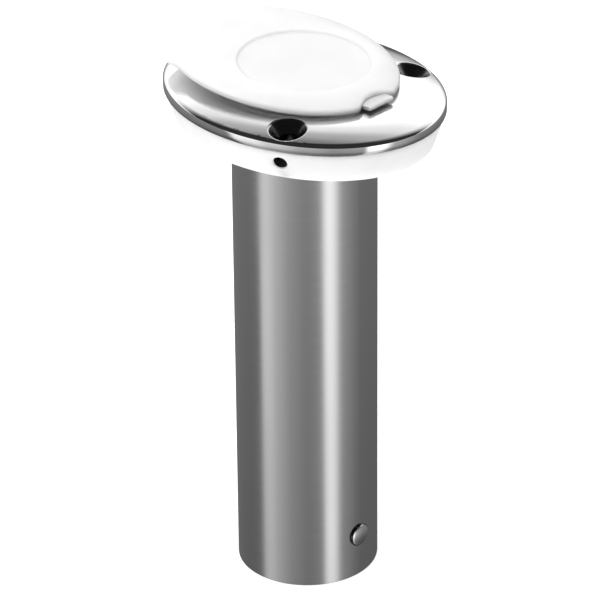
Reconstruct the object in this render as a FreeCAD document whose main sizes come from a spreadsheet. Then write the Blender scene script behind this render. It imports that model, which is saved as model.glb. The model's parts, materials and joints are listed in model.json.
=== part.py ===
import FreeCAD, Part
import math
import os
import Sketcher
from FreeCAD import Rotation, Vector

# Flush-mount rod holder with a soft lid, in millimetres.
# Z runs up the tube's axis, and Z = 0 is the deck that the gasket's underside lies on.
# X runs along the oval flange towards the lid's hinge, and the lid's thumb tab is at the -X end.

DOC = FreeCAD.newDocument("rod_holder")
Y_AXIS, Z_AXIS = Vector(0, 1, 0), Vector(0, 0, 1)
HOOPS = 5  # ovals that a curved loft passes through

# ---------------------------------------------------------------- driving dimensions

SIZES = {
    # tube
    "tube_od": 50.8,
    "tube_wall": 1.5,
    "tube_drop": 172.7,  # deck to the tube's lower end
    # gasket
    "gasket_thick": 11.0,
    "gasket_foot_x": 49.5,  # half axes of its underside
    "gasket_foot_y": 39.0,
    "gasket_inset": 0.5,  # its top edge stands in from the flange's edge
    "gasket_gap": 0.1,  # round the tube
    "gasket_relief": 3.2,  # chamfer that makes room for the weld
    "side_hole_radius": 2.6,
    "side_hole_height": 6.0,
    "side_hole_azimuth": 57.6,
    "side_hole_stop": 37.0,  # radius at which it has run into the screw hole
    "side_hole_run": 15.0,
    # flange
    "flange_x": 53.5,  # half axes of the oval
    "flange_y": 43.0,
    "band_tall": 3.7,
    "dome_rise": 2.9,
    "dome_flat": 0.6,  # share of the half axes where the dome levels out
    "band_round": 0.9,
    "mouth_radius": 24.0,
    "mouth_round": 1.2,
    "tube_seat": 5.0,  # how far the tube goes up into the flange
    "screw_radius": 3.2,
    "sink_radius": 6.75,  # countersink's mouth, square to the dome
    "sink_half_angle": 41.0,
    "sink_run": 12.0,  # apex to the far end of the countersink's cone
    "sink_rise": 1.9,  # mouth's centre above the band
    "sink_tilt": 10.5,
    "pair_x": 21.8,
    "pair_y": 31.15,
    "pair_heading": 65.7,
    "tail_x": 45.0,
    # weld between the flange and the tube
    "weld_leg": 2.5,
    # gimbal pin
    "pin_radius": 3.175,
    "pin_raise": 16.5,  # above the tube's lower end
    "pin_head_radius": 4.4,
    "pin_head_tall": 1.4,
    "pin_head_round": 1.2,
    "pin_hole_gap": 0.02,
    # liner
    "liner_gap": 0.15,  # between the liner and the tube
    "liner_wall": 1.8,
    "liner_drop": 75.0,  # deck to the liner's lower end
    "flare": 1.0,
    "flare_tall": 7.0,
    "lip_radius": 28.5,
    "lip_thick": 1.1,
    # hinge strap
    "strap_half": 6.0,
    "strap_fold": 0.45,  # inside radius of the fold
    "strap_back": 2.2,  # how far the upper leg runs back from the fold
    "hinge_x": 35.5,
    # lid
    "lid_gap": 0.3,  # rim above the dome, with the lid pressed home
    "lid_x": 45.2,  # half axes of the oval
    "lid_y": 33.6,
    "lid_shift": 10.0,  # the oval's centre stands this far towards the tab
    "rim_thick": 2.2,
    "rim_round": 0.7,
    "tab_rise": 1.2,
    "crown_tall": 4.6,
    "crown_radius": 25.2,
    "dish_radius": 23.2,
    "dish_deep": 0.8,
    "recess_radius": 29.5,
    "lip_room": 0.5,  # between the liner's lip and the lid
    "plug_radius": 21.6,
    "plug_tip_radius": 20.8,
    "plug_bore": 19.2,
    "plug_deep": 5.0,  # below the lip's top
    "scallop_radius": 12.0,
    "scallop_deep": 4.2,
    "tab_radius": 15.0,
    "tab_blend": 10.0,
    "tab_offset": 31.5,  # from the lid oval's centre
    "tab_azimuth": 207.7,
    "tab_top_radius": 5.0,
    "lid_lift": 3.0,  # degrees that the lid stands open at rest
    # cutting tools
    "overcut": 1.0,
    "reach": 60.0,
}


def make_sheet():
    sheet = DOC.addObject("Spreadsheet::Sheet", "sizes")
    for row, (alias, value) in enumerate(SIZES.items(), start=1):
        sheet.set(f"A{row}", alias)
        sheet.set(f"B{row}", str(value))
        sheet.setAlias(f"B{row}", alias)
    DOC.recompute()
    return sheet


SHEET = make_sheet()

# heights and radii that several sub-parts share, as expressions of the sheet
TUBE_R = "sizes.tube_od / 2"
TUBE_BORE = "(sizes.tube_od / 2 - sizes.tube_wall)"
BAND_TOP = "(sizes.gasket_thick + sizes.band_tall)"
DOME_TOP = "(sizes.gasket_thick + sizes.band_tall + sizes.dome_rise)"
LINER_R = "(sizes.tube_od / 2 - sizes.tube_wall - sizes.liner_gap)"
LINER_BORE = f"({LINER_R} - sizes.liner_wall)"
LIP_TOP = f"({DOME_TOP} + sizes.lip_thick)"
HINGE_Z = f"({LIP_TOP} + sizes.strap_fold)"
PIN_Z = "(sizes.pin_raise - sizes.tube_drop)"
RIM_Z = "(sizes.lid_gap - sizes.lip_thick - sizes.strap_fold)"  # lid's rim, from the hinge


def value_of(expression):
    """The number that an expression of the sheet comes to."""
    text = expression
    for alias in sorted(SIZES, key=len, reverse=True):
        text = text.replace(f"sizes.{alias}", str(getattr(SHEET, alias)))
    parts = FreeCAD.Units.Quantity(text)
    return float(parts.Value)


# ---------------------------------------------------------------- helpers for Part objects


def bind(thing, **expressions):
    """Binds properties to the sheet. Two underscores stand for a dot in a property's name."""
    for name, expression in expressions.items():
        thing.setExpression(name.replace("__", "."), str(expression))
    return thing


def place(thing, x="0", y="0", z="0"):
    return bind(thing, Placement__Base__x=x, Placement__Base__y=y, Placement__Base__z=z)


def cylinder(name, radius, height, x="0", y="0", z="0"):
    post = DOC.addObject("Part::Cylinder", name)
    bind(post, Radius=radius, Height=height)
    return place(post, x, y, z)


def cone(name, low_radius, high_radius, height, x="0", y="0", z="0"):
    frustum = DOC.addObject("Part::Cone", name)
    bind(frustum, Radius1=low_radius, Radius2=high_radius, Height=height)
    return place(frustum, x, y, z)


def box(name, length, width, height, x="0", y="0", z="0"):
    block = DOC.addObject("Part::Box", name)
    bind(block, Length=length, Width=width, Height=height)
    return place(block, x, y, z)


def oval(name, half_x, half_y, z, x="0"):
    """A level ellipse, turned so that its seam is at the -X end."""
    ring = DOC.addObject("Part::Ellipse", name)
    ring.Placement.Rotation = Rotation(Z_AXIS, 180)
    bind(ring, MajorRadius=half_x, MinorRadius=half_y)
    return place(ring, x, "0", z)


def loft(name, rings, ruled):
    skin = DOC.addObject("Part::Loft", name)
    skin.Sections = rings
    skin.Solid = True
    skin.Ruled = ruled
    return skin


def fuse(name, *shapes):
    whole = DOC.addObject("Part::MultiFuse", name)
    whole.Shapes = list(shapes)
    whole.Refine = True
    return whole


def cut(name, base, *tools):
    """Cuts the tools from base one after another, and the last cut has the name."""
    rest = base
    for i, tool in enumerate(tools, start=1):
        left = DOC.addObject("Part::Cut", name if i == len(tools) else f"{name}_{i}")
        left.Base = rest
        left.Tool = tool
        rest = left
    return rest


def fillet(name, base, alias, wanted):
    """Rounds the edges of base that wanted(edge) picks, by the sheet's radius."""
    DOC.recompute()
    picked = [i for i, edge in enumerate(base.Shape.Edges, start=1) if wanted(edge)]
    if not picked:
        raise RuntimeError(f"{name}: no edge to round")
    radius = getattr(SHEET, alias)
    rounded = DOC.addObject("Part::Fillet", name)
    rounded.Base = base
    rounded.Edges = [(i, radius, radius) for i in picked]
    return rounded


def finish(thing, label):
    DOC.recompute()
    thing.Label = label
    return thing


def level_edge(z, least_length=0.0, most_length=1e9):
    """Picks the level edges at height z whose length is in the range."""

    def wanted(edge):
        bounds = edge.BoundBox
        level = abs(bounds.ZMin - z) < 1e-4 and abs(bounds.ZMax - z) < 1e-4
        return level and least_length < edge.Length < most_length

    return wanted


def notch_edge(oval_x):
    """Picks the upright edges where the tab's plate runs into the lid's oval, beyond oval_x."""

    def wanted(edge):
        bounds = edge.BoundBox
        upright = bounds.XLength < 1e-4 and bounds.YLength < 1e-4
        return upright and bounds.XMax < oval_x and abs(bounds.YMax) > 1

    return wanted


# ---------------------------------------------------------------- helpers for PartDesign bodies


def new_body(label):
    body = DOC.addObject("PartDesign::Body", label)
    body.Label = label
    return body


def new_sketch(body, name, role, z=None):
    """A sketch on one of the body's own origin planes, moved along the plane's normal by z."""
    sketch = body.newObject("Sketcher::SketchObject", name)
    plane = next(o for o in body.Origin.OriginFeatures if o.Role == role)
    sketch.AttachmentSupport = [(plane, "")]
    sketch.MapMode = "FlatFace"
    if z:
        sketch.setExpression("AttachmentOffset.Base.z", z)
    return sketch


def bound_constraint(sketch, name, expression, *args):
    """A constraint whose value is an expression of the sheet."""
    index = sketch.addConstraint(Sketcher.Constraint(*args, value_of(expression)))
    sketch.renameConstraint(index, name)
    sketch.setExpression(f"Constraints.{name}", expression)


def centred_circles(sketch, *radii):
    for i, radius in enumerate(radii):
        sketch.addGeometry(Part.Circle(Vector(), Z_AXIS, value_of(radius)), False)
        sketch.addConstraint(Sketcher.Constraint("Coincident", i, 3, -1, 1))
        bound_constraint(sketch, f"radius_{i}", radius, "Radius", i)


def polygon(sketch, corners):
    """A closed outline. Each corner is two expressions; a coordinate "0" lies on the sketch's axis."""
    points = [Vector(value_of(x), value_of(y), 0) for x, y in corners]
    count = len(corners)
    for i in range(count):
        sketch.addGeometry(Part.LineSegment(points[i], points[(i + 1) % count]), False)
    for i in range(count):
        sketch.addConstraint(Sketcher.Constraint("Coincident", i, 2, (i + 1) % count, 1))
    for i, (x, y) in enumerate(corners):
        if x == "0":
            sketch.addConstraint(Sketcher.Constraint("PointOnObject", i, 1, -2))
        else:
            bound_constraint(sketch, f"x_{i}", x, "DistanceX", -1, 1, i, 1)
        if y == "0":
            sketch.addConstraint(Sketcher.Constraint("PointOnObject", i, 1, -1))
        else:
            bound_constraint(sketch, f"y_{i}", y, "DistanceY", -1, 1, i, 1)


def revolve(body, sketch, axis):
    turned = body.newObject("PartDesign::Revolution", f"{body.Label}_turned")
    turned.Profile = sketch
    turned.ReferenceAxis = (sketch, [axis])
    turned.Angle = 360
    DOC.recompute()
    return turned


# ---------------------------------------------------------------- tube


def make_tube():
    body = new_body("tube")
    ring = new_sketch(body, "tube_section", "XY_Plane", z="-sizes.tube_drop")
    centred_circles(ring, TUBE_R, TUBE_BORE)
    wall = body.newObject("PartDesign::Pad", "tube_wall")
    wall.Profile = ring
    wall.setExpression("Length", "sizes.tube_drop + sizes.gasket_thick + sizes.tube_seat")
    DOC.recompute()
    whole = wall.Shape.Volume
    hole = new_sketch(body, "pin_hole", "YZ_Plane")
    hole.addGeometry(Part.Circle(Vector(0, value_of(PIN_Z), 0), Z_AXIS, SIZES["pin_radius"]), False)
    hole.addConstraint(Sketcher.Constraint("PointOnObject", 0, 3, -2))
    bound_constraint(hole, "raise", PIN_Z, "DistanceY", -1, 1, 0, 3)
    bound_constraint(hole, "radius", "sizes.pin_radius + sizes.pin_hole_gap", "Radius", 0)
    through = body.newObject("PartDesign::Pocket", "pin_holes")
    through.Profile = hole
    through.SideType = "Symmetric"
    through.setExpression("Length", "sizes.tube_od * 2")
    body.Tip = through
    DOC.recompute()
    if through.Shape.Volume >= whole:
        raise RuntimeError("tube: the pin holes cut nothing")
    return body


def make_weld_bead():
    body = new_body("weld_bead")
    outline = new_sketch(body, "weld_section", "XZ_Plane")
    corners = [
        (TUBE_R, "sizes.gasket_thick - sizes.weld_leg"),
        (f"{TUBE_R} + sizes.weld_leg", "sizes.gasket_thick"),
        (TUBE_R, "sizes.gasket_thick"),
    ]
    polygon(outline, corners)
    body.Tip = revolve(body, outline, "V_Axis")
    return body


# ---------------------------------------------------------------- gimbal pin


def make_gimbal_pin():
    half = f"({TUBE_R} + sizes.pin_head_tall)"
    shaft = cylinder("pin_shaft", "sizes.pin_radius", f"2 * {TUBE_R}")
    head = cylinder("pin_head_blank", "sizes.pin_head_radius", f"2 * {half}")
    for post in (shaft, head):
        post.Placement.Rotation = Rotation(Y_AXIS, 90)
    place(shaft, f"-{TUBE_R}", "0", PIN_Z)
    place(head, f"-{half}", "0", PIN_Z)
    DOC.recompute()
    domed = fillet("pin_head_domed", head, "pin_head_round", lambda edge: edge.Closed)
    barrel = cylinder("pin_barrel", TUBE_R, "sizes.reach", "0", "0", f"{PIN_Z} - sizes.reach / 2")
    heads = cut("pin_heads", domed, barrel)
    return finish(fuse("gimbal_pin", shaft, heads), "gimbal_pin")


# ---------------------------------------------------------------- liner and hinge strap


def make_liner():
    body = new_body("liner")
    outline = new_sketch(body, "liner_section", "XZ_Plane")
    corners = [
        (LINER_BORE, "-sizes.liner_drop"),
        (LINER_R, "-sizes.liner_drop"),
        (LINER_R, DOME_TOP),
        ("sizes.lip_radius", DOME_TOP),
        ("sizes.lip_radius", LIP_TOP),
        (f"{LINER_BORE} + sizes.flare", LIP_TOP),
        (f"{LINER_BORE} + sizes.flare", f"{LIP_TOP} - sizes.flare_tall + sizes.flare"),
        (LINER_BORE, f"{LIP_TOP} - sizes.flare_tall"),
    ]
    polygon(outline, corners)
    body.Tip = revolve(body, outline, "V_Axis")
    return body


def make_hinge_strap():
    body = new_body("hinge_strap")
    outline = new_sketch(body, "strap_section", "XZ_Plane")
    outer = "(sizes.strap_fold + sizes.lip_thick)"
    centre = Vector(value_of("sizes.hinge_x"), value_of(HINGE_Z), 0)
    inner_r, outer_r = value_of("sizes.strap_fold"), value_of(outer)
    back = Vector(centre.x - value_of("sizes.strap_back"), 0, 0)
    foot = Vector(value_of("sizes.lip_radius") - 1, 0, 0)
    quarter = math.pi / 2

    def line(x1, y1, x2, y2):
        outline.addGeometry(Part.LineSegment(Vector(x1, y1, 0), Vector(x2, y2, 0)), False)

    def bow(radius):
        circle = Part.Circle(centre, Z_AXIS, radius)
        outline.addGeometry(Part.ArcOfCircle(circle, -quarter, quarter), False)

    low, high = centre.y - outer_r, centre.y + outer_r
    line(foot.x, low, centre.x, low)
    bow(outer_r)
    line(centre.x, high, back.x, high)
    line(back.x, high, back.x, centre.y + inner_r)
    line(back.x, centre.y + inner_r, centre.x, centre.y + inner_r)
    bow(inner_r)
    line(centre.x, centre.y - inner_r, foot.x, centre.y - inner_r)
    line(foot.x, centre.y - inner_r, foot.x, low)
    joints = [(0, 2, 1, 1), (1, 2, 2, 1), (2, 2, 3, 1), (3, 2, 4, 1), (4, 2, 5, 2)]
    joints += [(5, 1, 6, 1), (6, 2, 7, 1), (7, 2, 0, 1), (5, 3, 1, 3)]
    for joint in joints:
        outline.addConstraint(Sketcher.Constraint("Coincident", *joint))
    for level in (0, 2, 4, 6):
        outline.addConstraint(Sketcher.Constraint("Horizontal", level))
    for upright in (3, 7):
        outline.addConstraint(Sketcher.Constraint("Vertical", upright))
    bound_constraint(outline, "hinge_x", "sizes.hinge_x", "DistanceX", -1, 1, 1, 3)
    bound_constraint(outline, "hinge_z", HINGE_Z, "DistanceY", -1, 1, 1, 3)
    bound_constraint(outline, "fold", "sizes.strap_fold", "Radius", 5)
    bound_constraint(outline, "outer", outer, "Radius", 1)
    bound_constraint(outline, "back", "sizes.hinge_x - sizes.strap_back", "DistanceX", -1, 1, 3, 1)
    bound_constraint(outline, "foot", "sizes.lip_radius - 1", "DistanceX", -1, 1, 7, 1)
    # the straight legs meet the two bows where these are level
    outline.addConstraint(Sketcher.Constraint("Vertical", 1, 1, 1, 2))
    outline.addConstraint(Sketcher.Constraint("Vertical", 5, 1, 5, 2))
    band = body.newObject("PartDesign::Pad", "strap_band")
    band.Profile = outline
    band.SideType = "Symmetric"
    band.setExpression("Length", "2 * sizes.strap_half")
    DOC.recompute()
    whole = band.Shape.Volume
    lip = new_sketch(body, "lip_edge", "XY_Plane")
    centred_circles(lip, "sizes.lip_radius")
    trim = body.newObject("PartDesign::Pocket", "lip_trim")
    trim.Profile = lip
    trim.SideType = "Symmetric"
    trim.setExpression("Length", "2 * sizes.reach")
    body.Tip = trim
    DOC.recompute()
    if trim.Shape.Volume >= whole:
        raise RuntimeError("hinge_strap: the trim at the lip cuts nothing")
    return body


# ---------------------------------------------------------------- gasket


def screw_places():
    """The three screw holes: name, x, y and the way the dome falls there."""
    return [
        ("front", "sizes.pair_x", "-sizes.pair_y", "-sizes.pair_heading"),
        ("rear", "sizes.pair_x", "sizes.pair_y", "sizes.pair_heading"),
        ("tail", "-sizes.tail_x", "0", "180"),
    ]


def screw_posts(prefix):
    posts = []
    for name, x, y, _ in screw_places():
        posts.append(cylinder(f"{prefix}_{name}", "sizes.screw_radius", "sizes.reach", x, y, "-sizes.overcut"))
    return posts


def make_gasket():
    foot = oval("gasket_foot", "sizes.gasket_foot_x", "sizes.gasket_foot_y", "0")
    top_x = "sizes.flange_x - sizes.gasket_inset"
    top_y = "sizes.flange_y - sizes.gasket_inset"
    top = oval("gasket_top", top_x, top_y, "sizes.gasket_thick")
    block = loft("gasket_block", [foot, top], ruled=True)
    bore_radius = f"({TUBE_R} + sizes.gasket_gap)"
    bore = cylinder("gasket_bore", bore_radius, "sizes.reach", "0", "0", "-sizes.overcut")
    relief_foot = "sizes.gasket_thick - sizes.gasket_relief"
    relief = cone("gasket_relief", bore_radius, f"{bore_radius} + sizes.gasket_relief",
                  "sizes.gasket_relief", "0", "0", relief_foot)
    tools = [bore, relief] + screw_posts("gasket_screw")
    for name, sign in (("front", "-"), ("rear", "")):
        way = f"({sign}sizes.side_hole_azimuth)"
        drill = cylinder(f"side_hole_{name}", "sizes.side_hole_radius", "sizes.side_hole_run")
        turn = -1 if sign else 1
        heading = Rotation(Z_AXIS, turn * SHEET.side_hole_azimuth)
        drill.Placement.Rotation = heading * Rotation(Y_AXIS, 90)
        place(drill, f"sizes.side_hole_stop * cos({way})", f"sizes.side_hole_stop * sin({way})",
              "sizes.side_hole_height")
        tools.append(drill)
    return finish(cut("gasket", block, *tools), "gasket")


# ---------------------------------------------------------------- flange


def make_flange():
    band = [oval(f"band_{name}", "sizes.flange_x", "sizes.flange_y", z)
            for name, z in (("low", "sizes.gasket_thick"), ("high", BAND_TOP))]
    dome = []
    for step in range(HOOPS):
        # the dome falls away as a parabola from where it levels out
        out = f"(1 - {step} / {HOOPS - 1})"
        share = f"(sizes.dome_flat + (1 - sizes.dome_flat) * {out})"
        height = f"{BAND_TOP} + sizes.dome_rise * (1 - {out} * {out})"
        dome.append(oval(f"dome_{step}", f"sizes.flange_x * {share}", f"sizes.flange_y * {share}", height))
    plate = loft("flange_band", band, ruled=True)
    cover = loft("flange_dome", dome, ruled=False)
    blank = fuse("flange_blank", plate, cover)
    DOC.recompute()
    seam = level_edge(value_of(BAND_TOP), 100)
    softened = fillet("flange_soft", blank, "band_round", seam)
    seat = cylinder("tube_socket", TUBE_R, "sizes.tube_seat + sizes.overcut", "0", "0",
                    "sizes.gasket_thick - sizes.overcut")
    mouth = cylinder("flange_mouth", "sizes.mouth_radius", "sizes.reach")
    tools = [seat, mouth] + screw_posts("flange_screw")
    deep = "(sizes.sink_radius / tan(sizes.sink_half_angle))"
    for name, x, y, heading in screw_places():
        sink = cone(f"sink_{name}", "0", "sizes.sink_run * tan(sizes.sink_half_angle)", "sizes.sink_run")
        bearing = value_of(heading)
        axis = Rotation(Z_AXIS, bearing).multVec(Y_AXIS)
        sink.Placement.Rotation = Rotation(axis, SHEET.sink_tilt)
        lean = f"{deep} * sin(sizes.sink_tilt)"
        place(sink, f"{x} - {lean} * cos({heading})", f"{y} - {lean} * sin({heading})",
              f"{BAND_TOP} + sizes.sink_rise - {deep} * cos(sizes.sink_tilt)")
        tools.append(sink)
    drilled = cut("flange_drilled", softened, *tools)
    rim = level_edge(value_of(DOME_TOP), 140, 155)
    rounded = fillet("flange", drilled, "mouth_round", rim)
    return finish(rounded, "flange")


# ---------------------------------------------------------------- lid


def make_cap():
    """The lid is built about its hinge, shut flat, and its placement then lifts it."""
    tube_x = "-sizes.hinge_x"
    oval_x = "(-sizes.hinge_x - sizes.lid_shift)"
    rim_top = f"({RIM_Z} + sizes.rim_thick)"
    crown = f"({RIM_Z} + sizes.crown_tall)"

    tab_x = f"({oval_x} + sizes.tab_offset * cos(sizes.tab_azimuth))"
    tab_y = "(sizes.tab_offset * sin(sizes.tab_azimuth))"
    rim_low = oval("rim_low", "sizes.lid_x", "sizes.lid_y", RIM_Z, oval_x)
    rim_high = oval("rim_high", "sizes.lid_x", "sizes.lid_y", rim_top, oval_x)
    rim = loft("lid_rim", [rim_low, rim_high], ruled=True)
    tab = cylinder("tab_plate", "sizes.tab_radius", "sizes.rim_thick", tab_x, tab_y, RIM_Z)
    plate = fuse("lid_plate", rim, tab)
    blended = fillet("lid_blend", plate, "tab_blend", notch_edge(value_of(oval_x)))
    softened = fillet("lid_soft", blended, "rim_round", level_edge(value_of(rim_top)))

    hoops = []
    for step in range(HOOPS):
        # a parabola, level at the crown's edge
        out = f"(1 - {step} / {HOOPS - 1})"
        reach_x = "(sizes.lid_x - sizes.rim_round - sizes.crown_radius)"
        reach_y = "(sizes.lid_y - sizes.rim_round - sizes.crown_radius)"
        hoops.append(oval(f"hood_{step}",
                          f"sizes.crown_radius + {reach_x} * {out}",
                          f"sizes.crown_radius + {reach_y} * {out}",
                          f"{crown} - (sizes.crown_tall - sizes.rim_thick) * {out} * {out}",
                          f"(-sizes.hinge_x - sizes.lid_shift * {out})"))
    hood = loft("lid_hood", hoops, ruled=False)
    tab_hood = cone("tab_hood", "sizes.tab_radius - sizes.rim_round", "sizes.tab_top_radius",
                    "sizes.tab_rise", tab_x, tab_y, rim_top)
    blank = fuse("lid_blank", softened, hood, tab_hood)

    ceiling = f"({RIM_Z} + sizes.lip_thick - sizes.lid_gap + sizes.lip_room)"
    dish = cylinder("lid_dish", "sizes.dish_radius", "sizes.reach", tube_x, "0", f"{crown} - sizes.dish_deep")
    recess = cylinder("lid_recess", "sizes.recess_radius", f"{ceiling} - {RIM_Z} + sizes.overcut",
                      tube_x, "0", f"{RIM_Z} - sizes.overcut")
    channel_half = "(sizes.strap_half + sizes.flare)"
    channel = box("lid_channel", "sizes.hinge_x", f"2 * {channel_half}",
                  f"{ceiling} - {RIM_Z} + sizes.overcut",
                  tube_x, f"-{channel_half}", f"{RIM_Z} - sizes.overcut")
    scallop_x = f"({oval_x} + sizes.lid_x - sizes.scallop_deep + sizes.scallop_radius)"
    scallop = cylinder("lid_scallop", "sizes.scallop_radius", "sizes.reach", scallop_x, "0", "-sizes.reach / 2")
    shell = cut("lid_shell", blank, dish, recess, channel, scallop)

    plug_foot = "(-sizes.strap_fold - sizes.plug_deep)"
    plug = cone("plug_blank", "sizes.plug_tip_radius", "sizes.plug_radius",
                f"{ceiling} - {plug_foot} + sizes.overcut / 2", tube_x, "0", plug_foot)
    hollow = cylinder("plug_hollow", "sizes.plug_bore", f"{ceiling} - {plug_foot}", tube_x, "0", plug_foot)
    ring = cut("plug_ring", plug, hollow)
    lid = fuse("cap", shell, ring)
    lid.Placement.Rotation = Rotation(Y_AXIS, 1)
    bind(lid, Placement__Rotation__Angle="sizes.lid_lift")
    place(lid, "sizes.hinge_x", "0", HINGE_Z)
    return finish(lid, "cap")


# ---------------------------------------------------------------- build, check and write


def check_and_write(nodes):
    DOC.recompute()
    for thing in DOC.Objects:
        if "Invalid" in thing.State or "Error" in thing.State:
            raise RuntimeError(f"{thing.Name} is {thing.State}")
    os.makedirs("parts", exist_ok=True)
    for node in nodes:
        shape = node.Shape
        if shape.isNull() or not shape.isValid():
            raise RuntimeError(f"{node.Label} has no valid shape")
        if len(shape.Solids) != 1:
            raise RuntimeError(f"{node.Label} has {len(shape.Solids)} solids")
        print(f"{node.Label}: {shape.Volume:.1f} mm3")
        shape.exportStep(f"parts/{node.Label}.step")


makers = (
    make_flange, make_tube, make_weld_bead, make_gimbal_pin,
    make_liner, make_hinge_strap, make_cap, make_gasket,
)
check_and_write([make() for make in makers])
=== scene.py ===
import json
import math
import bpy
from mathutils import Matrix, Vector
from mathutils.geometry import delaunay_2d_cdt


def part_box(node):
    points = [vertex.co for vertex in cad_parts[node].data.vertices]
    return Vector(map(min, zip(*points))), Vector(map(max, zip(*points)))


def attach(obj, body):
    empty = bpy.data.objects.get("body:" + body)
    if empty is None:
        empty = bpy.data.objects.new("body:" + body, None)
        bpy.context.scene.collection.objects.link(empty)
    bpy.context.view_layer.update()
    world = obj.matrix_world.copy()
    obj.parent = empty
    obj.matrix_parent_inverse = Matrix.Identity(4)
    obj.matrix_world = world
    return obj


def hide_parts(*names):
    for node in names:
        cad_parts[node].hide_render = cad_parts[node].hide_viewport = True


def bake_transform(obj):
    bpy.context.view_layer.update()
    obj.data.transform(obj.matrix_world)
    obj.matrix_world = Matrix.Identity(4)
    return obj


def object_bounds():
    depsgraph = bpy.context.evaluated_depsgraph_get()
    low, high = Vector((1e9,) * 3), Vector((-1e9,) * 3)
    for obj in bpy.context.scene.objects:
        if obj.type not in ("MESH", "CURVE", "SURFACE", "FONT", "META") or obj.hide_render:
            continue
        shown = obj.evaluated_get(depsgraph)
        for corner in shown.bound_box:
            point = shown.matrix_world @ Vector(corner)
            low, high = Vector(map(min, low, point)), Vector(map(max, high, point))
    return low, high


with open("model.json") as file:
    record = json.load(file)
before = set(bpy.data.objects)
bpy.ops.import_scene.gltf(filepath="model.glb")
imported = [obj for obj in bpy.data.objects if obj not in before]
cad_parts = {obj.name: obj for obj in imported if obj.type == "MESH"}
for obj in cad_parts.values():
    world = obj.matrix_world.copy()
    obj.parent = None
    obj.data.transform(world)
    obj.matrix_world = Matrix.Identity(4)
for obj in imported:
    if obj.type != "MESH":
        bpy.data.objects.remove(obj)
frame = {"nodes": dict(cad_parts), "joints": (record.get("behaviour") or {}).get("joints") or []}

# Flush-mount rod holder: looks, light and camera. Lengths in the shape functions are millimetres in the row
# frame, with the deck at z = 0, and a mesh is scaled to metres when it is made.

CAD_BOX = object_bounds()
MM = 0.001
TAU = 2 * math.pi


def box_mm(node):
    low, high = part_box(node)
    return Vector(low) / MM, Vector(high) / MM


# ---------------------------------------------------------------- sizes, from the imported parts

FLANGE_LOW, FLANGE_HIGH = box_mm("flange")
_, TUBE_HIGH = box_mm("tube")
PIN_LOW, PIN_HIGH = box_mm("gimbal_pin")
PIN_HEIGHT = (PIN_LOW.z + PIN_HIGH.z) / 2
PIN_HEAD_R = (PIN_HIGH.z - PIN_LOW.z) / 2
PIN_SHAFT_R = 3.175

DECK_TOP = FLANGE_LOW.z
FLANGE_A, FLANGE_B = FLANGE_HIGH.x, FLANGE_HIGH.y
BAND_TALL = 3.7
BAND_ROUND = 0.9
DOME_RISE = 2.9
DOME_FLAT = 0.6
MOUTH_R = 24.0
MOUTH_ROUND = 1.2
TUBE_R = TUBE_HIGH.x
TUBE_SEAT_TOP = TUBE_HIGH.z
SCREW_R = 3.2
SINK_R = 6.75
SINK_SLOPE = 1 / math.tan(math.radians(41))
SINK_EDGE = 0.45
SCREWS = ((21.8, -31.15), (21.8, 31.15), (-45.0, 0.0))

SIDE_HOLE_AZIMUTH = math.radians(57.6)
SIDE_HOLE_R = 2.6
SIDE_HOLE_Z = 6.0
SIDE_HOLE_MOUTH = 43.2
# depth in from the side hole's mouth that is left unpainted; deeper in, the wall gets painted shade
SIDE_HOLE_LIT = 2.0

HINGE = Vector(frame["joints"][0]["pos_m"]) / MM
LID_LIFT = math.radians(3.0)
LID_A, LID_B, LID_SHIFT = 45.2, 33.6, 10.0
LID_GAP = 0.3
RIM_THICK = 2.2
RIM_ROUND = 0.8
CROWN_TALL, CROWN_R = 4.58, 25.2
DISH_DEEP = 0.8
# the dish's soft edge: radii, and the share of its depth reached there
DISH_EDGE = ((22.8, 0.98), (23.0, 0.86), (23.15, 0.6), (23.25, 0.35), (23.4, 0.13), (23.65, 0.03))
TAB_R, TAB_OFFSET, TAB_AZIMUTH = 15.0, 31.5, math.radians(207.7)
TAB_RISE = 1.0
SCALLOP_R, SCALLOP_DEEP = 12.0, 4.2
RECESS_R, LIP_THICK, LIP_ROOM = 29.5, 1.1, 0.5
PLUG_R, PLUG_TIP_R, PLUG_BORE, PLUG_DEEP = 21.6, 20.8, 19.2, 5.0
STRAP_HALF, STRAP_FOLD = 6.0, 0.45
STRAP_BACK = 5.2
FOLD_R, STRAP_THICK = 0.47, 0.8  # the fold is nearly shut


# ---------------------------------------------------------------- mesh helpers


def make_object(name, points, faces, material, smooth_angle=35):
    mesh = bpy.data.meshes.new(name)
    mesh.from_pydata([tuple(Vector(p) * MM) for p in points], [], faces)
    mesh.validate()
    obj = bpy.data.objects.new(name, mesh)
    bpy.context.scene.collection.objects.link(obj)
    mesh.materials.append(material)
    for face in mesh.polygons:
        face.use_smooth = True
    mesh.set_sharp_from_angle(angle=math.radians(smooth_angle))
    return obj


def grid_faces(rows, count, closed_rows=False):
    """Quads between rows of count points that close on themselves."""
    faces = []
    last = rows if closed_rows else rows - 1
    for i in range(last):
        a, b = i * count, ((i + 1) % rows) * count
        for j in range(count):
            k = (j + 1) % count
            faces.append((a + j, a + k, b + k, b + j))
    return faces


def arc(centre_r, centre_z, radius, start, end, steps):
    """Points of a (radius, height) arc, in degrees."""
    out = []
    for i in range(steps + 1):
        turn = math.radians(start + (end - start) * i / steps)
        out.append((centre_r + radius * math.cos(turn), centre_z + radius * math.sin(turn)))
    return out


def smooth_min(a, b, width):
    mix = max(width - abs(a - b), 0.0) / width
    return min(a, b) - mix * mix * width / 4


# ---------------------------------------------------------------- materials


def new_material(name):
    material = bpy.data.materials.new(name)
    material.use_nodes = True
    tree = material.node_tree
    shader = next(n for n in tree.nodes if n.type == "BSDF_PRINCIPLED")
    return material, tree, shader


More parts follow.
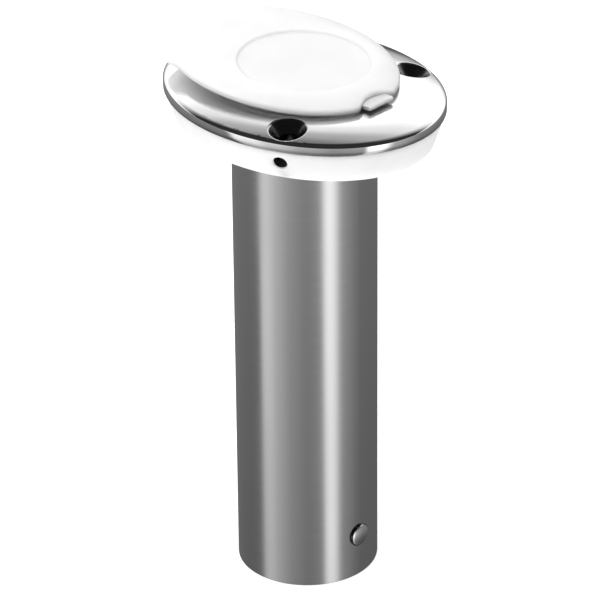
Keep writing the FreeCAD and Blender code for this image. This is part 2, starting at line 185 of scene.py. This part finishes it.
def noise(tree, scale, stretch=(1, 1, 1), detail=4.0):
    place = tree.nodes.new("ShaderNodeTexCoord")
    mapping = tree.nodes.new("ShaderNodeMapping")
    mapping.inputs["Scale"].default_value = stretch
    tree.links.new(place.outputs["Object"], mapping.inputs["Vector"])
    grain = tree.nodes.new("ShaderNodeTexNoise")
    grain.inputs["Scale"].default_value = scale
    grain.inputs["Detail"].default_value = detail
    tree.links.new(mapping.outputs["Vector"], grain.inputs["Vector"])
    return grain.outputs["Fac"]


def to_range(tree, value, low, high, from_low=0.3, from_high=0.7):
    span = tree.nodes.new("ShaderNodeMapRange")
    span.inputs["From Min"].default_value = from_low
    span.inputs["From Max"].default_value = from_high
    span.inputs["To Min"].default_value = low
    span.inputs["To Max"].default_value = high
    tree.links.new(value, span.inputs["Value"])
    return span.outputs["Result"]


def mix_colours(tree, value, low, high):
    ramp = tree.nodes.new("ShaderNodeValToRGB")
    ramp.color_ramp.elements[0].position = 0.3
    ramp.color_ramp.elements[1].position = 0.7
    ramp.color_ramp.elements[0].color = (*low, 1)
    ramp.color_ramp.elements[1].color = (*high, 1)
    tree.links.new(value, ramp.inputs["Fac"])
    return ramp.outputs["Color"]


def bump(tree, shader, value, strength, distance):
    node = tree.nodes.new("ShaderNodeBump")
    node.inputs["Strength"].default_value = strength
    node.inputs["Distance"].default_value = distance
    tree.links.new(value, node.inputs["Height"])
    tree.links.new(node.outputs["Normal"], shader.inputs["Normal"])


def maths(tree, operation, a, b=0.0):
    node = tree.nodes.new("ShaderNodeMath")
    node.operation = operation
    for socket, value in zip(node.inputs, (a, b)):
        if isinstance(value, (int, float)):
            socket.default_value = value
        else:
            tree.links.new(value, socket)
    return node.outputs[0]


def near(tree, u, v, reach):
    """1 where the length of (u, v) is under reach."""
    square = maths(tree, "ADD", maths(tree, "MULTIPLY", u, u), maths(tree, "MULTIPLY", v, v))
    return maths(tree, "LESS_THAN", maths(tree, "SQRT", square), reach)


def place_xyz(tree):
    split = tree.nodes.new("ShaderNodeSeparateXYZ")
    tree.links.new(tree.nodes.new("ShaderNodeTexCoord").outputs["Object"], split.inputs[0])
    return split.outputs


def near_screws(tree, reach):
    """1 within reach of any screw hole's axis."""
    x, y, _ = place_xyz(tree)
    found = None
    for cx, cy in SCREWS:
        spot = near(tree, maths(tree, "SUBTRACT", x, cx * MM), maths(tree, "SUBTRACT", y, cy * MM), reach)
        found = spot if found is None else maths(tree, "MAXIMUM", found, spot)
    return found


def paint_over(tree, shader, mask, colour):
    mix = tree.nodes.new("ShaderNodeMix")
    mix.data_type = "RGBA"
    tree.links.new(mask, mix.inputs["Factor"])
    tree.links.new(shader.inputs["Base Color"].links[0].from_socket, mix.inputs[6])
    mix.inputs[7].default_value = (*colour, 1)
    tree.links.new(mix.outputs[2], shader.inputs["Base Color"])


def polished_steel():
    material, tree, shader = new_material("polished_steel")
    shader.inputs["Metallic"].default_value = 1.0
    haze = noise(tree, 55.0, detail=3.0)
    colour = mix_colours(tree, haze, (0.76, 0.76, 0.765), (0.82, 0.82, 0.82))
    tree.links.new(colour, shader.inputs["Base Color"])
    wipe = noise(tree, 160.0, stretch=(0.3, 2.2, 1.0), detail=5.0)
    rough = to_range(tree, wipe, 0.035, 0.09)
    # the countersinks are painted dark, a painted shade standing in for the dark reflection in the recess,
    # and are made rougher than the polished dome as a cut face
    sink_shade_and_cut_finish = near_screws(tree, (SINK_R - 0.5) * MM)
    paint_over(tree, shader, sink_shade_and_cut_finish, (0.17, 0.17, 0.175))
    rough = maths(tree, "ADD", rough, maths(tree, "MULTIPLY", sink_shade_and_cut_finish, 0.2))
    tree.links.new(rough, shader.inputs["Roughness"])
    return material


def brushed_steel():
    """Lines run round the tube, so that reflections smear along it."""
    material, tree, shader = new_material("brushed_steel")
    shader.inputs["Metallic"].default_value = 1.0
    shader.inputs["Anisotropic"].default_value = 0.6
    lines = noise(tree, 9.0, stretch=(1, 1, 260), detail=6.0)
    cloud = noise(tree, 22.0, stretch=(1, 1, 0.6), detail=3.0)
    colour = mix_colours(tree, lines, (0.640, 0.640, 0.643), (0.668, 0.668, 0.668))
    tree.links.new(colour, shader.inputs["Base Color"])
    blend = tree.nodes.new("ShaderNodeMath")
    blend.operation = "ADD"
    tree.links.new(to_range(tree, lines, 0.15, 0.19), blend.inputs[0])
    tree.links.new(to_range(tree, cloud, 0.0, 0.06), blend.inputs[1])
    tree.links.new(blend.outputs[0], shader.inputs["Roughness"])
    tangent = tree.nodes.new("ShaderNodeTangent")
    tangent.direction_type = "RADIAL"
    tangent.axis = "Z"
    tree.links.new(tangent.outputs["Tangent"], shader.inputs["Tangent"])
    bump(tree, shader, lines, 0.05, 0.00002)
    return material


def pin_steel():
    """Satin steel, with a dark line of painted shade where the head's edge meets the tube."""
    material, tree, shader = new_material("pin_steel")
    shader.inputs["Metallic"].default_value = 1.0
    haze = noise(tree, 300.0, detail=4.0)
    colour = mix_colours(tree, haze, (0.66, 0.66, 0.665), (0.74, 0.74, 0.74))
    tree.links.new(colour, shader.inputs["Base Color"])
    tree.links.new(to_range(tree, haze, 0.22, 0.30), shader.inputs["Roughness"])
    _, y, z = place_xyz(tree)
    up = maths(tree, "SUBTRACT", z, PIN_HEIGHT * MM)
    # painted shade: the head's outer edge is painted near black, standing in for the shadowed gap to the
    # tube
    rim = maths(tree, "SUBTRACT", 1.0, near(tree, y, up, (PIN_HEAD_R - 0.42) * MM))
    paint_over(tree, shader, rim, (0.07, 0.07, 0.07))
    return material


def white_pvc(name, low, high, rough):
    material, tree, shader = new_material(name)
    shader.inputs["IOR"].default_value = 1.5
    shader.inputs["Specular IOR Level"].default_value = 0.25
    shader.inputs["Subsurface Weight"].default_value = 1.0
    shader.inputs["Subsurface Radius"].default_value = (0.005, 0.005, 0.005)
    shader.inputs["Subsurface Scale"].default_value = 1.0
    cloud = noise(tree, 60.0, detail=4.0)
    tree.links.new(mix_colours(tree, cloud, low, high), shader.inputs["Base Color"])
    grain = noise(tree, 1400.0, detail=3.0)
    tree.links.new(to_range(tree, grain, rough - 0.05, rough + 0.08), shader.inputs["Roughness"])
    bump(tree, shader, grain, 0.12, 0.00003)
    return material


def paint_bore_shade(material):
    """The gasket's bores are painted dark inside: painted shade on the wall a little way in from the
    surface.
    """
    tree = material.node_tree
    shader = next(n for n in tree.nodes if n.type == "BSDF_PRINCIPLED")
    x, y, z = place_xyz(tree)
    dark = near_screws(tree, (SCREW_R + 0.15) * MM)
    deep = near(tree, x, y, (SIDE_HOLE_MOUTH - SIDE_HOLE_LIT) * MM)
    up = maths(tree, "SUBTRACT", z, SIDE_HOLE_Z * MM)
    for side in (-1, 1):
        cos, sin = math.cos(SIDE_HOLE_AZIMUTH), side * math.sin(SIDE_HOLE_AZIMUTH)
        across = maths(tree, "SUBTRACT", maths(tree, "MULTIPLY", x, sin), maths(tree, "MULTIPLY", y, cos))
        along = maths(tree, "ADD", maths(tree, "MULTIPLY", x, cos), maths(tree, "MULTIPLY", y, sin))
        hole = maths(tree, "MULTIPLY", near(tree, across, up, (SIDE_HOLE_R + 0.1) * MM),
                     maths(tree, "GREATER_THAN", along, 0.0))
        dark = maths(tree, "MAXIMUM", dark, maths(tree, "MULTIPLY", hole, deep))
    # painted shade, near black, on the screw bores' walls and deep inside the side holes
    paint_over(tree, shader, dark, (0.012, 0.012, 0.013))


FLANGE_STEEL = polished_steel()
PIN_STEEL = pin_steel()
BRUSHED = brushed_steel()
LID_PVC = white_pvc("soft_pvc", (0.72, 0.72, 0.723), (0.76, 0.76, 0.76), 0.42)
GASKET_PVC = white_pvc("gasket_pvc", (0.79, 0.79, 0.793), (0.83, 0.83, 0.83), 0.48)
paint_bore_shade(GASKET_PVC)


# ---------------------------------------------------------------- flange


def dome_height(x, y):
    share = math.hypot(x / FLANGE_A, y / FLANGE_B)
    out = max(share - DOME_FLAT, 0.0) / (1 - DOME_FLAT)
    return DECK_TOP + BAND_TALL + DOME_RISE * (1 - out * out)


def dome_slope(x, y):
    step = 0.01
    dx = (dome_height(x + step, y) - dome_height(x - step, y)) / (2 * step)
    dy = (dome_height(x, y + step) - dome_height(x, y - step)) / (2 * step)
    return dx, dy


SINKS = [(x, y, dome_height(x, y), *dome_slope(x, y)) for x, y in SCREWS]


def top_height(x, y):
    """The dome with a countersink round each screw hole, square to the dome and soft at its edge."""
    height = dome_height(x, y)
    for cx, cy, cz, gx, gy in SINKS:
        dx, dy = x - cx, y - cy
        if dx * dx + dy * dy > 144:
            continue
        rise = gx * dx + gy * dy
        reach = math.sqrt(dx * dx + dy * dy + rise * rise)
        funnel = cz + rise + (reach - SINK_R) * SINK_SLOPE
        height = smooth_min(height, funnel, SINK_EDGE)
    return height


def flange_outline(inset, count):
    """The oval's edge, moved square to itself by inset."""
    points = []
    for j in range(count):
        turn = TAU * j / count
        x, y = FLANGE_A * math.cos(turn), FLANGE_B * math.sin(turn)
        nx, ny = FLANGE_B * math.cos(turn), FLANGE_A * math.sin(turn)
        length = math.hypot(nx, ny)
        points.append((x - inset * nx / length, y - inset * ny / length))
    return points


def ring(cx, cy, radius, count):
    turns = [TAU * j / count for j in range(count)]
    return [(cx + radius * math.cos(turn), cy + radius * math.sin(turn)) for turn in turns]


def fill_between(loops, loose):
    """Triangles of the flat region inside the first loop and outside the others, through loose points."""
    flat, edges = [], []
    for loop in loops:
        start = len(flat)
        flat += loop
        edges += [(start + j, start + (j + 1) % len(loop)) for j in range(len(loop))]
    flat += loose
    points, _, faces, origin, _, _ = delaunay_2d_cdt([Vector(p) for p in flat], edges, [], 0, 1e-6)
    holes = loops[1:]
    kept = []
    for face in faces:
        cx = sum(points[i].x for i in face) / len(face)
        cy = sum(points[i].y for i in face) / len(face)
        if inside(cx, cy, loops[0]) and not any(inside(cx, cy, hole) for hole in holes):
            kept.append(face)
    back = {}
    for i, sources in enumerate(origin):
        for source in sources:
            back[source] = i
    return points, kept, back


def inside(x, y, loop):
    found = False
    for j in range(len(loop)):
        (x1, y1), (x2, y2) = loop[j - 1], loop[j]
        if (y1 > y) != (y2 > y) and x < (x2 - x1) * (y - y1) / (y2 - y1) + x1:
            found = not found
    return found


def make_flange():
    edge_count, mouth_count, hole_count = 288, 192, 72
    edge = flange_outline(BAND_ROUND, edge_count)
    mouth = ring(0, 0, MOUTH_R + MOUTH_ROUND, mouth_count)
    holes = [ring(x, y, SCREW_R, hole_count) for x, y in SCREWS]
    sink_radii = [3.7, 4.3, 5.0, 5.6, 6.05, 6.3, 6.45, 6.58, 6.7, 6.82, 6.95, 7.1, 7.35, 7.8, 8.5, 9.3]
    loose = []
    for step in range(1, 26):
        part = step / 26
        count = 240
        for j in range(count):
            turn = TAU * (j + 0.5 * (step % 2)) / count
            ex = (FLANGE_A - BAND_ROUND) * math.cos(turn)
            ey = (FLANGE_B - BAND_ROUND) * math.sin(turn)
            inner = MOUTH_R + MOUTH_ROUND
            px = inner * math.cos(turn) * (1 - part) + ex * part
            py = inner * math.sin(turn) * (1 - part) + ey * part
            if all(math.hypot(px - x, py - y) > 10.0 for x, y in SCREWS):
                loose.append((px, py))
    for x, y in SCREWS:
        for radius in sink_radii:
            for px, py in ring(x, y, radius, hole_count):
                share = math.hypot(px / (FLANGE_A - BAND_ROUND - 0.3), py / (FLANGE_B - BAND_ROUND - 0.3))
                if share < 1:
                    loose.append((px, py))
    flat, faces, back = fill_between([edge, mouth] + holes, loose)
    points = [(p.x, p.y, top_height(p.x, p.y)) for p in flat]
    quads = [tuple(face) for face in faces]

    def index_of(offset, count):
        return [back[offset + j] for j in range(count)]

    def extend(first, rows):
        """Walls from the loop of point numbers first down through rows of new points."""
        previous = first
        for row in rows:
            start = len(points)
            points.extend(row)
            fresh = list(range(start, start + len(row)))
            for j in range(len(row)):
                k = (j + 1) % len(row)
                quads.append((previous[j], fresh[j], fresh[k], previous[k]))
            previous = fresh
        return previous

    # band
    band = []
    slope_turn = 14
    for step in range(1, 9):
        turn = math.radians(slope_turn + (90 - slope_turn) * step / 8)
        inset = BAND_ROUND * (1 - math.sin(turn))
        height = DECK_TOP + BAND_TALL - BAND_ROUND * (1 - math.cos(turn)) + 0.12 * (1 - step / 8)
        band.append([(x, y, height) for x, y in flange_outline(inset, edge_count)])
    for inset, rise in ((0.0, 1.6), (0.0, 0.35), (0.1, 0.1), (0.35, 0.0)):
        band.append([(x, y, DECK_TOP + rise) for x, y in flange_outline(inset, edge_count)])
    foot_edge = extend(index_of(0, edge_count), band)

    # mouth, lip and tube socket
    dome_top = DECK_TOP + BAND_TALL + DOME_RISE
    profile = arc(MOUTH_R + MOUTH_ROUND, dome_top - MOUTH_ROUND, MOUTH_ROUND, 90, 180, 8)[1:]
    profile += [(MOUTH_R, TUBE_SEAT_TOP), (TUBE_R, TUBE_SEAT_TOP), (TUBE_R, DECK_TOP)]
    rows = [[(r * math.cos(TAU * j / mouth_count), r * math.sin(TAU * j / mouth_count), z)
             for j in range(mouth_count)] for r, z in profile]
    foot_mouth = extend(index_of(edge_count, mouth_count), rows)

    foot_holes = []
    for i, (x, y) in enumerate(SCREWS):
        rows = [[(px, py, DECK_TOP) for px, py in ring(x, y, SCREW_R, hole_count)]]
        foot_holes.append(extend(index_of(edge_count + mouth_count + i * hole_count, hole_count), rows))

    loops = [foot_edge, foot_mouth] + foot_holes
    flat_loops = [[points[i][:2] for i in loop] for loop in loops]
    numbers = [i for loop in loops for i in loop]
    _, faces, back = fill_between(flat_loops, [])
    forward = {v: numbers[k] for k, v in back.items()}
    quads += [tuple(reversed([forward[i] for i in face])) for face in faces]
    return make_object("flange_casting", points, quads, FLANGE_STEEL, smooth_angle=40)


flange = make_flange()
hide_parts("flange")
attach(flange, "holder")


# ---------------------------------------------------------------- gimbal pin


def make_pin():
    height, shaft_r, head_r = PIN_HEIGHT, PIN_SHAFT_R, PIN_HEAD_R
    end = PIN_HIGH.x
    seat = TUBE_R * math.cos(math.asin(head_r / TUBE_R)) + 0.05
    dome = end - TUBE_R
    half = [(shaft_r, 0.0), (shaft_r, seat), (head_r - 0.25, seat), (head_r, seat + 0.2)]
    half.append((head_r, TUBE_R + 0.15))
    for step in range(1, 9):
        turn = math.radians(90 * step / 8)
        half.append((head_r * math.cos(turn) if step < 8 else 0.15,
                     TUBE_R + 0.15 + (dome - 0.15) * math.sin(turn)))
    profile = [(r, -x) for r, x in reversed(half)] + half[1:]
    count = 64
    points, faces = [], grid_faces(len(profile), count)
    for r, x in profile:
        points += [(x, y, z) for y, z in ring(0.0, height, r, count)]
    last = (len(profile) - 1) * count
    faces.append(tuple(range(count - 1, -1, -1)))
    faces.append(tuple(range(last, last + count)))
    return make_object("gimbal_pin_riveted", points, faces, PIN_STEEL, smooth_angle=50)


pin = make_pin()
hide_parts("gimbal_pin")
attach(pin, "holder")


# ---------------------------------------------------------------- lid


def lid_outline(count):
    """Radius of the lid's edge from the tube's axis in each direction, pressed home."""
    tab_x = -LID_SHIFT + TAB_OFFSET * math.cos(TAB_AZIMUTH)
    tab_y = TAB_OFFSET * math.sin(TAB_AZIMUTH)
    scallop_x = LID_A - LID_SHIFT - SCALLOP_DEEP + SCALLOP_R

    def edge(x, y):
        oval = (math.hypot((x + LID_SHIFT) / LID_A, y / LID_B) - 1) * 38
        tab = math.hypot(x - tab_x, y - tab_y) - TAB_R
        bite = SCALLOP_R - math.hypot(x - scallop_x, y)
        return -smooth_min(-smooth_min(oval, tab, 2.5), -bite, 1.6)

    radii, oval_radii = [], []
    for j in range(count):
        cx, cy = math.cos(TAU * j / count), math.sin(TAU * j / count)
        low, high = 15.0, 75.0
        for _ in range(40):
            mid = (low + high) / 2
            if edge(mid * cx, mid * cy) > 0:
                high = mid
            else:
                low = mid
        radii.append(low)
        low, high = 15.0, 75.0
        for _ in range(40):
            mid = (low + high) / 2
            if math.hypot((mid * cx + LID_SHIFT) / LID_A, mid * cy / LID_B) > 1:
                high = mid
            else:
                low = mid
        oval_radii.append(low)
    return radii, oval_radii


def make_lid():
    count = 480
    radii, oval_radii = lid_outline(count)
    ways = [(math.cos(TAU * j / count), math.sin(TAU * j / count)) for j in range(count)]
    edge = [(radii[j] * ways[j][0], radii[j] * ways[j][1]) for j in range(count)]
    normals = []
    for j in range(count):
        (x1, y1), (x2, y2) = edge[j - 1], edge[(j + 1) % count]
        length = math.hypot(x2 - x1, y2 - y1)
        normals.append(((y2 - y1) / length, -(x2 - x1) / length))
    tab_x = -LID_SHIFT + TAB_OFFSET * math.cos(TAB_AZIMUTH)
    tab_y = TAB_OFFSET * math.sin(TAB_AZIMUTH)

    def crown(x, y, j):
        """Height of the hood above the rim's plane."""
        reach = math.hypot(x, y)
        out = min(max((reach - CROWN_R) / (oval_radii[j] - CROWN_R), 0.0), 1.0)
        hood = RIM_THICK + (CROWN_TALL - RIM_THICK) * (1 - out * out)
        near = max(1 - math.hypot(x - tab_x, y - tab_y) / TAB_R, 0.0)
        tab = RIM_THICK + TAB_RISE * near * near * (3 - 2 * near)
        return -smooth_min(-hood, -tab, 0.6)

    def inset_ring(inset, height_of):
        row = []
        for j in range(count):
            x, y = edge[j][0] - inset * normals[j][0], edge[j][1] - inset * normals[j][1]
            row.append((x, y, height_of(x, y, j)))
        return row

    rows = []

    def circle_row(radius, height):
        rows.append([(radius * cx, radius * cy, height) for cx, cy in ways])

    # top, from the middle of the dish out to the rim
    floor = CROWN_TALL - DISH_DEEP
    for radius in (0.4, 6, 12, 17, 20, 21.6, 22.4):
        circle_row(radius, floor)
    for radius, drop in DISH_EDGE:
        circle_row(radius, CROWN_TALL - DISH_DEEP * drop)
    circle_row(24.2, CROWN_TALL)
    circle_row(CROWN_R, CROWN_TALL)
    inner = inset_ring(RIM_ROUND, crown)
    for step in range(1, 14):
        part = step / 14
        row = []
        for j in range(count):
            x = CROWN_R * ways[j][0] * (1 - part) + inner[j][0] * part
            y = CROWN_R * ways[j][1] * (1 - part) + inner[j][1] * part
            row.append((x, y, crown(x, y, j)))
        rows.append(row)
    rows.append(inner)
    for step in range(1, 7):
        turn = math.radians(90 * step / 6)
        inset = RIM_ROUND * (1 - math.sin(turn))
        drop = RIM_ROUND * (1 - math.cos(turn))
        rows.append([(x, y, z - drop) for x, y, z in inset_ring(inset, crown)])
    # the rim's wall and underside, with the channel over the strap
    ceiling = LIP_THICK - LID_GAP + LIP_ROOM

    def under(x, y, j):
        return ceiling if abs(y) < STRAP_HALF + 1 and x > 20 else 0.0

    for inset, rise in ((0.0, 0.35), (0.1, 0.1), (0.35, 0.0)):
        rows.append([(x, y, z + rise * (1 if z == 0 else 0.2)) for x, y, z in inset_ring(inset, under)])
    rows.append([(RECESS_R * cx, RECESS_R * cy, under(RECESS_R * cx, RECESS_R * cy, 0)) for cx, cy in ways])
    circle_row(RECESS_R - 0.1, ceiling)
    plug_root = PLUG_R + 0.6
    circle_row(plug_root, ceiling)
    foot = LIP_THICK - LID_GAP - PLUG_DEEP
    circle_row(PLUG_R, ceiling - 0.5)
    circle_row(PLUG_TIP_R, foot + 0.5)
    circle_row(PLUG_TIP_R - 0.15, foot + 0.12)
    circle_row(PLUG_TIP_R - 0.5, foot)
    circle_row(PLUG_BORE + 0.4, foot)
    circle_row(PLUG_BORE, foot + 0.3)
    circle_row(PLUG_BORE, ceiling - 0.3)
    circle_row(PLUG_BORE - 0.4, ceiling)
    circle_row(10.0, ceiling)
    circle_row(0.4, ceiling)

    points = [p for row in rows for p in row]
    faces = grid_faces(len(rows), count)
    faces = [tuple(reversed(f)) for f in faces]
    faces.append(tuple(range(count)))
    last = (len(rows) - 1) * count
    faces.append(tuple(range(last + count - 1, last - 1, -1)))
    rim_z = HINGE.z - STRAP_FOLD - LIP_THICK + LID_GAP
    turn = Matrix.Rotation(LID_LIFT, 4, "Y")
    placed = []
    for x, y, z in points:
        local = Vector((x, y, z + rim_z)) - Vector((HINGE.x, 0, HINGE.z))
        placed.append(turn @ local + Vector((HINGE.x, 0, HINGE.z)))
    return make_object("lid_moulding", placed, faces, LID_PVC, smooth_angle=50)


lid = make_lid()
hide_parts("cap")
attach(lid, "cap")


# ---------------------------------------------------------------- hinge strap


# across the strap: shares of its half width, and the share of its thickness there
STRAP_EDGE = ((-1, 0.12), (-0.97, 0.55), (-0.90, 0.85), (-0.78, 1.0),
              (0.78, 1.0), (0.90, 0.85), (0.97, 0.55), (1, 0.12))


def make_strap():
    """A strip that leaves the liner's lip, folds over and runs back into the lid's edge."""
    low = HINGE.z - STRAP_FOLD - LIP_THICK
    lip_middle = low + LIP_THICK / 2
    middle = [(x, lip_middle, 0.0, LIP_THICK / 2) for x in (27.6, 29.0)]
    for x in (30.2, 31.5, 33.0, 34.4):
        middle.append((x, HINGE.z - FOLD_R, 0.0, STRAP_THICK / 2))
    steps = 14
    for step in range(steps + 1):
        turn = math.radians(-90 + 180 * step / steps)
        middle.append((HINGE.x + FOLD_R * math.cos(turn), HINGE.z + FOLD_R * math.sin(turn),
                       step / steps * math.pi, STRAP_THICK / 2))
    for step in range(1, 7):
        part = step / 6
        back_z = HINGE.z + FOLD_R - 0.22 * part + 0.05
        middle.append((HINGE.x - STRAP_BACK * part, back_z, math.pi, STRAP_THICK / 2))
    rows = []
    for x, z, turn, half in middle:
        nx, nz = math.sin(turn), -math.cos(turn)
        width = STRAP_HALF
        row = []
        for face in (1, -1):
            for side, share in STRAP_EDGE:
                thick = half * share
                row.append((x + nx * thick * face, face * side * width, z + nz * thick * face))
        rows.append(row)
    count = len(rows[0])
    points = [p for row in rows for p in row]
    faces = grid_faces(len(rows), count)
    faces.append(tuple(range(count - 1, -1, -1)))
    last = (len(rows) - 1) * count
    faces.append(tuple(range(last, last + count)))
    return make_object("living_hinge", points, faces, LID_PVC, smooth_angle=60)


strap = make_strap()
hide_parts("hinge_strap")
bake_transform(strap)


# ---------------------------------------------------------------- parts that keep their CAD shape

KEPT = {"tube": BRUSHED, "weld_bead": BRUSHED, "liner": LID_PVC, "gasket": GASKET_PVC}
for name, material in KEPT.items():
    node = frame["nodes"][name]
    node.data.materials.clear()
    node.data.materials.append(material)
    for index in range(len(node.material_slots)):
        node.material_slots[index].material = material


# ---------------------------------------------------------------- floor, light and camera

FLOOR_Z = CAD_BOX[0][2] - 0.0002
FLOOR_HALF = 6.0
CORNERS = ((-1, -1), (1, -1), (1, 1), (-1, 1))
floor_mesh = bpy.data.meshes.new("floor")
floor_mesh.from_pydata([(FLOOR_HALF * x, FLOOR_HALF * y, FLOOR_Z) for x, y in CORNERS], [], [(0, 1, 2, 3)])
floor = bpy.data.objects.new("floor", floor_mesh)
bpy.context.scene.collection.objects.link(floor)
floor_paint, _, floor_shader = new_material("floor_paint")
floor_shader.inputs["Base Color"].default_value = (0.93, 0.93, 0.93, 1)
floor_shader.inputs["Roughness"].default_value = 0.9
floor_shader.inputs["Specular IOR Level"].default_value = 0.1
floor_shader.inputs["Emission Color"].default_value = (1, 1, 1, 1)
floor_shader.inputs["Emission Strength"].default_value = 0.45  # a light table
floor_mesh.materials.append(floor_paint)
floor.visible_glossy = False

CAMERA_AZIMUTH = math.radians(43.43)
CAMERA_ELEVATION = math.radians(28.69)
CAMERA_REACH = 1.3882
CAMERA_LENS = 235.17
CAMERA_SHIFT = (-0.0099, 0.0138)
CAMERA_ROLL = math.radians(-0.51)
AIM_ABOVE_FLOOR = 0.1
toward = Vector((math.sin(CAMERA_AZIMUTH), -math.cos(CAMERA_AZIMUTH), 0))
right = Vector((math.cos(CAMERA_AZIMUTH), math.sin(CAMERA_AZIMUTH), 0))
target = Vector((0, 0, CAD_BOX[0][2] + AIM_ABOVE_FLOOR))
sight = math.cos(CAMERA_ELEVATION) * toward + Vector((0, 0, math.sin(CAMERA_ELEVATION)))
eye = target + CAMERA_REACH * sight
camera_data = bpy.data.cameras.new("camera")
camera_data.sensor_width = 36
camera_data.lens = CAMERA_LENS
camera_data.shift_x, camera_data.shift_y = CAMERA_SHIFT
camera_data.clip_start = 0.01
camera_data.clip_end = 50
camera = bpy.data.objects.new("camera", camera_data)
camera.matrix_world = (Matrix.Translation(eye) @ (target - eye).to_track_quat("-Z", "Y").to_matrix().to_4x4()
                       @ Matrix.Rotation(CAMERA_ROLL, 4, "Z"))
bpy.context.scene.collection.objects.link(camera)
bpy.context.scene.camera = camera


def area_light(name, place, aim, size, power, glossy):
    data = bpy.data.lights.new(name, "AREA")
    data.shape = "RECTANGLE"
    data.size, data.size_y = size
    data.energy = power
    lamp = bpy.data.objects.new(name, data)
    lamp.location = place
    lamp.rotation_euler = (Vector(aim) - Vector(place)).to_track_quat("-Z", "Y").to_euler()
    lamp.visible_glossy = glossy
    bpy.context.scene.collection.objects.link(lamp)
    return lamp


PANEL = 2.3  # brightness of the brightest panel


def studio_world():
    """Soft studio surroundings: a bright half behind the object, a dark one above the camera, and two tall
    bright panels low at the sides."""
    world = bpy.data.worlds.new("studio")
    bpy.context.scene.world = world
    world.use_nodes = True
    tree = world.node_tree
    background = tree.nodes["Background"]
    place = tree.nodes.new("ShaderNodeTexCoord")

    def dot(way):
        node = tree.nodes.new("ShaderNodeVectorMath")
        node.operation = "DOT_PRODUCT"
        node.inputs[1].default_value = way
        tree.links.new(place.outputs["Generated"], node.inputs[0])
        return node.outputs["Value"]

    def math_node(operation, a, b):
        node = tree.nodes.new("ShaderNodeMath")
        node.operation = operation
        for socket, value in zip(node.inputs, (a, b)):
            if isinstance(value, (int, float)):
                socket.default_value = value
            else:
                tree.links.new(value, socket)
        return node.outputs[0]

    def ramp(value, stops):
        node = tree.nodes.new("ShaderNodeValToRGB")
        node.color_ramp.interpolation = "EASE"
        elements = node.color_ramp.elements
        while len(elements) < len(stops):
            elements.new(0.5)
        for element, (position, level) in zip(elements, stops):
            element.position = position
            element.color = (level, level, level, 1)
        tree.links.new(value, node.inputs["Fac"])
        return node.outputs["Color"]

    def turn_share(y, x):
        """Angle of (x, y) from -180 to 180 degrees, as 0 to 1."""
        return math_node("ADD", math_node("DIVIDE", math_node("ARCTAN2", y, x), TAU), 0.5)

    low_turn = turn_share(dot(right), dot(toward))
    behind = (-toward + 0.15 * right).normalized()
    up = dot((0, 0, 1))
    high_turn = turn_share(up, dot(behind))

    def at(degrees):
        return 0.5 + degrees / 360

    # levels are shares of PANEL, the brightest panel
    low = ramp(low_turn, [(at(-170), 0.24 / PANEL), (at(-80), 0.22 / PANEL), (at(-73), 1.06 / PANEL),
                          (at(-61), 1.0 / PANEL), (at(-48), 0.70 / PANEL), (at(-22), 0.44 / PANEL),
                          (at(0), 0.33 / PANEL), (at(25), 0.38 / PANEL), (at(32), 0.72), (at(41), 0.74),
                          (at(60), 0.42 / PANEL), (at(100), 0.22 / PANEL), (at(175), 0.18 / PANEL)])
    high = ramp(high_turn, [(at(0), 0.05 / PANEL), (at(10), 0.6 / PANEL), (at(20), 1.35 / PANEL),
                            (at(38), 1.35 / PANEL), (at(44), 1.0 / PANEL), (at(51), 0.5 / PANEL),
                            (at(59), 0.2 / PANEL), (at(68), 0.03 / PANEL), (at(170), 0.03 / PANEL)])
    fade = tree.nodes.new("ShaderNodeMapRange")
    fade.inputs["From Min"].default_value = -0.62
    fade.inputs["From Max"].default_value = -0.34
    fade.inputs["To Min"].default_value = 0.45
    fade.inputs["To Max"].default_value = 1.2
    tree.links.new(up, fade.inputs["Value"])
    faded = tree.nodes.new("ShaderNodeVectorMath")
    faded.operation = "SCALE"
    tree.links.new(low, faded.inputs[0])
    tree.links.new(fade.outputs["Result"], faded.inputs["Scale"])
    mix = tree.nodes.new("ShaderNodeMix")
    mix.data_type = "RGBA"
    split = tree.nodes.new("ShaderNodeMapRange")
    split.inputs["From Min"].default_value = -0.12
    split.inputs["From Max"].default_value = 0.05
    tree.links.new(up, split.inputs["Value"])
    tree.links.new(split.outputs["Result"], mix.inputs["Factor"])
    tree.links.new(faded.outputs["Vector"], mix.inputs[6])
    tree.links.new(high, mix.inputs[7])
    tree.links.new(mix.outputs[2], background.inputs["Color"])
    background.inputs["Strength"].default_value = PANEL


bpy.context.scene.view_settings.view_transform = "Standard"
studio_world()
ORIGIN = (0, 0, 0)
KEY_PLACE, KEY_SIZE, KEY_WATTS = (0.3, -0.5, 1.9), (2.4, 2.4), 57
FILL_PLACE = -1.3 * right + 0.7 * toward + Vector((0, 0, 0.9))
FILL_SIZE, FILL_WATTS = (1.4, 1.4), 9
area_light("key_overhead", KEY_PLACE, ORIGIN, KEY_SIZE, KEY_WATTS, glossy=False)
area_light("fill_left", FILL_PLACE, ORIGIN, FILL_SIZE, FILL_WATTS, glossy=False)
